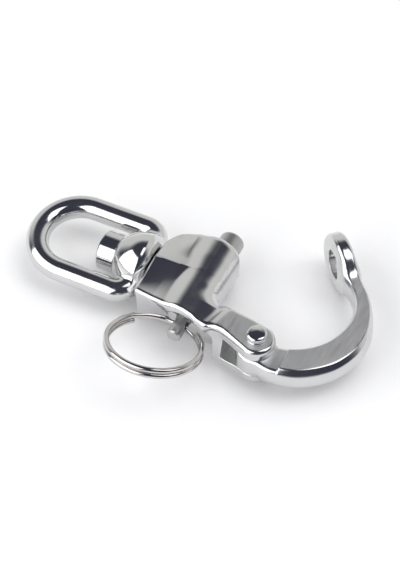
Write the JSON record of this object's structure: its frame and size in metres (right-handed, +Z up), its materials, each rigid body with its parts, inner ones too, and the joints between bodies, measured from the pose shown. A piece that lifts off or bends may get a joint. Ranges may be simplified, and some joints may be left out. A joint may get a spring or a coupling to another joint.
{
  "type": "swivel snap shackle",
  "caption": "Swivel snap shackle: a bail turns on a bolt in a cast body, and a hinged hook closes over a sprung plunger with a pull ring.",
  "frame": {"origin": "on the resting plane, under the middle of the object's bounding box", "axes": "+X along the swivel axis from the bail towards the hook's side, +Y along the plunger towards its nose, +Z up"},
  "size_m": [0.1013, 0.0703, 0.0186],
  "materials": {
    "polished_steel": "mirror-polished stainless steel",
    "satin_steel": "satin stainless steel",
    "wire_steel": "drawn stainless wire"
  },
  "bodies": {
    "body": {"shackle_body": "polished_steel", "swivel_bolt": "polished_steel", "hinge_rivet": "polished_steel", "plunger_spring": "wire_steel"},
    "eye": {"swivel_eye": "polished_steel"},
    "hook": {"hook": "polished_steel"},
    "plunger": {"plunger": "satin_steel"},
    "ring": {"split_ring": "wire_steel"}
  },
  "joints": [
    {"name": "eye_swivel", "type": "hinge", "parent": "body", "child": "eye", "pos_m": [0.0027, 0.004, 0.0088], "axis": [1, 0, 0], "continuous": true},
    {"name": "hook_swing", "type": "hinge", "parent": "body", "child": "hook", "pos_m": [0.0249, -0.011, 0.0088], "axis": [0, 0, -1], "range_deg": [-45.8, 90]},
    {"name": "plunger_slide", "type": "slide", "parent": "body", "child": "plunger", "axis": [0, 1, 0], "range_m": [-0.005, 0], "stiffness_N_per_m": 800, "springref_m": 0.005, "deforming": ["plunger_spring"]},
    {"name": "ring_swing", "type": "hinge", "parent": "plunger", "child": "ring", "pos_m": [0.0027, -0.0108, 0.0088], "axis": [1, 0, 0], "range_deg": [-20, 35]}
  ]
}
